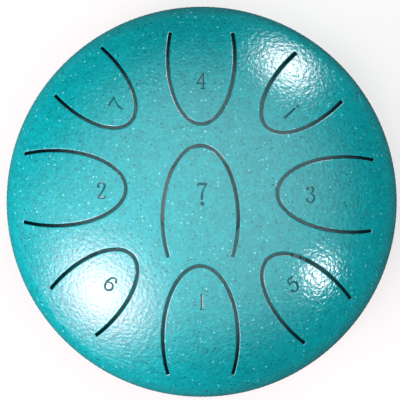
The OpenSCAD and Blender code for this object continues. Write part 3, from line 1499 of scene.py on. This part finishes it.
@dataclass(frozen=True)
class SoftSky:
    """The studio's ceiling: bright overhead, dim to the horizon, with four soft boxes in it."""

    tint: Colour = (0.96, 0.99, 1.0)
    ceiling: Ramp = Ramp(0.22, 0.9, 0.015, 1.02)
    overhead: Ramp = Ramp(0.8, 1.0, 0.0, 0.09)
    boxes: tuple[SoftBox, ...] = (
        SoftBox((34.4, 54.8), 7.7, 12.9, (1.0, 0.88, 0.9)),
        SoftBox((-40.9, -36.8), 15.8, 10.8, (1.0, 0.56, 0.59)),
        SoftBox((47.3, -29.0), 4.2, 20.5, (1.0, 0.92, 0.94)),
        SoftBox((-62.0, -3.0), 14.0, 0.46, (1.0, 0.9, 0.92)),
    )

    def build(self, profile: Profile) -> None:
        """Makes the world.

        Args:
            profile: The dome's section, which mirrors the soft boxes.
        """
        world = bpy.data.worlds.new("soft_sky")
        bpy.context.scene.world = world
        graph = Graph(world)
        way = graph.node("ShaderNodeTexCoord").outputs["Generated"]
        rise = graph.node("ShaderNodeSeparateXYZ", {0: way}).outputs["Z"]
        level = graph.math("ADD", graph.ease(rise, self.ceiling), graph.ease(rise, self.overhead))
        colour = graph.scaled(self.tint, level)
        for box in self.boxes:
            colour = graph.vector("ADD", colour, box.light(graph, way, profile)).outputs[0]
        sky = graph.node("ShaderNodeBackground", {"Color": colour, "Strength": 1.0})
        graph.node("ShaderNodeOutputWorld", {0: sky.outputs[0]})


class LampShape(Enum):
    """Outline of an area lamp."""

    DISK = "DISK"
    SQUARE = "SQUARE"


@dataclass(frozen=True)
class AreaLamp:
    """A broad lamp that the camera doesn't see. Its size and its places are in metres."""

    name: str
    shape: LampShape
    size: float
    power: float
    spot: Place
    aim: Place
    colour: Colour = (1.0, 1.0, 1.0)
    mirrored: bool = True

    def build(self) -> None:
        """Hangs the lamp."""
        lamp = bpy.data.lights.new(self.name, "AREA")
        lamp.shape = self.shape.value
        lamp.size = self.size
        lamp.energy = self.power
        lamp.color = self.colour
        thing = linked(bpy.data.objects.new(self.name, lamp))
        thing.location = self.spot
        way = Vector(self.aim) - Vector(self.spot)
        thing.rotation_euler = way.to_track_quat("-Z", "Y").to_euler()
        thing.visible_camera = False
        thing.visible_glossy = self.mirrored


@dataclass(frozen=True)
class WhiteTable:
    """White paper table, which keeps a faint shadow.

    Its ramps run along the distance from the drum's axis, in metres. They give how
    bright the camera sees the paper, how bright the drum mirrors it, and its own glow.
    """

    radius: float = 4000.0
    steps: int = 64
    paper: Colour = (0.92, 0.92, 0.92)
    # Painted shade: the camera sees the paper under the sound port at 0.6 of its brightness.
    port: Ramp = Ramp(0.018, 0.026, 0.6, 1.0)
    mirror: Ramp = Ramp(0.05, 0.1, 0.35, 0.05)
    glow: Ramp = Ramp(0.04, 0.1, 0.0, 0.8)
    bounce: float = 0.35

    def paper_finish(self) -> Material:
        """Makes the paper.

        Returns:
            The new material.
        """
        graph = Graph(bpy.data.materials.new("white_paper"))
        rays = graph.node("ShaderNodeLightPath").outputs
        away = graph.reach()
        mirrored = graph.math("MAXIMUM", rays["Is Glossy Ray"], rays["Is Transmission Ray"])
        # Painted shade under the sound port.
        looked_at = graph.product(rays["Is Camera Ray"], graph.ease(away, self.port))
        mirrored = graph.product(mirrored, graph.ease(away, self.mirror))
        bounced = graph.product(rays["Is Diffuse Ray"], self.bounce)
        seen = graph.math("MAXIMUM", graph.math("MAXIMUM", looked_at, mirrored), bounced)
        colour = graph.blend(seen, BLACK, (*self.paper, 1))
        plain = graph.node("ShaderNodeBsdfDiffuse", {"Color": colour}).outputs[0]
        white = graph.node("ShaderNodeEmission", {"Color": WHITE, "Strength": 1.0}).outputs[0]
        share = graph.product(rays["Is Camera Ray"], graph.ease(away, self.glow))
        mixed = graph.node("ShaderNodeMixShader", {0: share, 1: plain, 2: white})
        graph.node("ShaderNodeOutputMaterial", {0: mixed.outputs[0]})
        return graph.owner

    def build(self) -> None:
        """Lays the table."""
        ring, face = circle(self.radius, 0.0, self.steps), tuple(range(self.steps))
        surface("white_table", ring, [face], [self.paper_finish()])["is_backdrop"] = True


@dataclass(frozen=True)
class TopCamera:
    """The camera straight above the drum, in millimetres, with its far clip in metres."""

    height: float = 2039.8
    spot: Plan = (-0.67, 0.70)
    half_view: float = 79.62
    sensor: float = 36.0
    clip_end: float = 20.0

    def build(self) -> None:
        """Hangs the camera."""
        lens = bpy.data.cameras.new("camera")
        lens.type = "PERSP"
        lens.sensor_width = self.sensor
        lens.lens = self.sensor / 2 * (self.height - SEAM_Z) / self.half_view
        lens.clip_end = self.clip_end
        camera = linked(bpy.data.objects.new("camera", lens))
        camera.location = Vector((*self.spot, self.height)) * MM
        bpy.context.scene.camera = camera


@dataclass(frozen=True)
class Studio:
    """White table, soft sky, two lamps and the camera.

    The inner lamp stands for the light that bounces about inside the drum. The side lamp is
    at the left, low down and out of every mirrored direction.
    """

    profile: Profile
    lamps: tuple[AreaLamp, ...] = (
        AreaLamp(
            "inner_lamp", LampShape.DISK, 0.09, 0.004, (0.0, 0.0, 0.052), (0.0, 0.0, 0.0),
            colour=(0.42, 1.0, 1.12),
        ),
        AreaLamp(
            "side_lamp", LampShape.SQUARE, 0.5, 43.0, (-1.96, -0.26, 0.32), (0.0, 0.0, 0.04),
            mirrored=False,
        ),
    )

    def build(self) -> None:
        """Sets the whole scene round the drum."""
        bpy.context.scene.view_settings.view_transform = "Standard"
        TopCamera().build()
        SoftSky().build(self.profile)
        for lamp in self.lamps:
            lamp.build()
        WhiteTable().build()


def corners() -> list[list[float]]:
    """Lowest and highest corner of the model, as plain numbers."""
    return [[float(part) for part in corner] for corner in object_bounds()]


def main() -> None:
    """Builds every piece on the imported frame."""
    logging.basicConfig(level=logging.INFO, format="%(name)s: %(message)s")
    for thing in list(bpy.data.objects):
        bpy.data.objects.remove(thing)
    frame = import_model()
    finishes = Finishes.made()
    dome = TongueDome(finishes)
    for piece in (*dome.build(), BottomShell(finishes).build(), SeamWeld(finishes).build()):
        log.info("%s: %d faces", piece.name, len(piece.data.polygons))
    for piece in Feet(finishes, frame["nodes"]).build():
        log.info("%s: %s", piece.name, piece.data.materials[0].name)
    Studio(dome.profile).build()


if __name__ == "__main__":
    main()
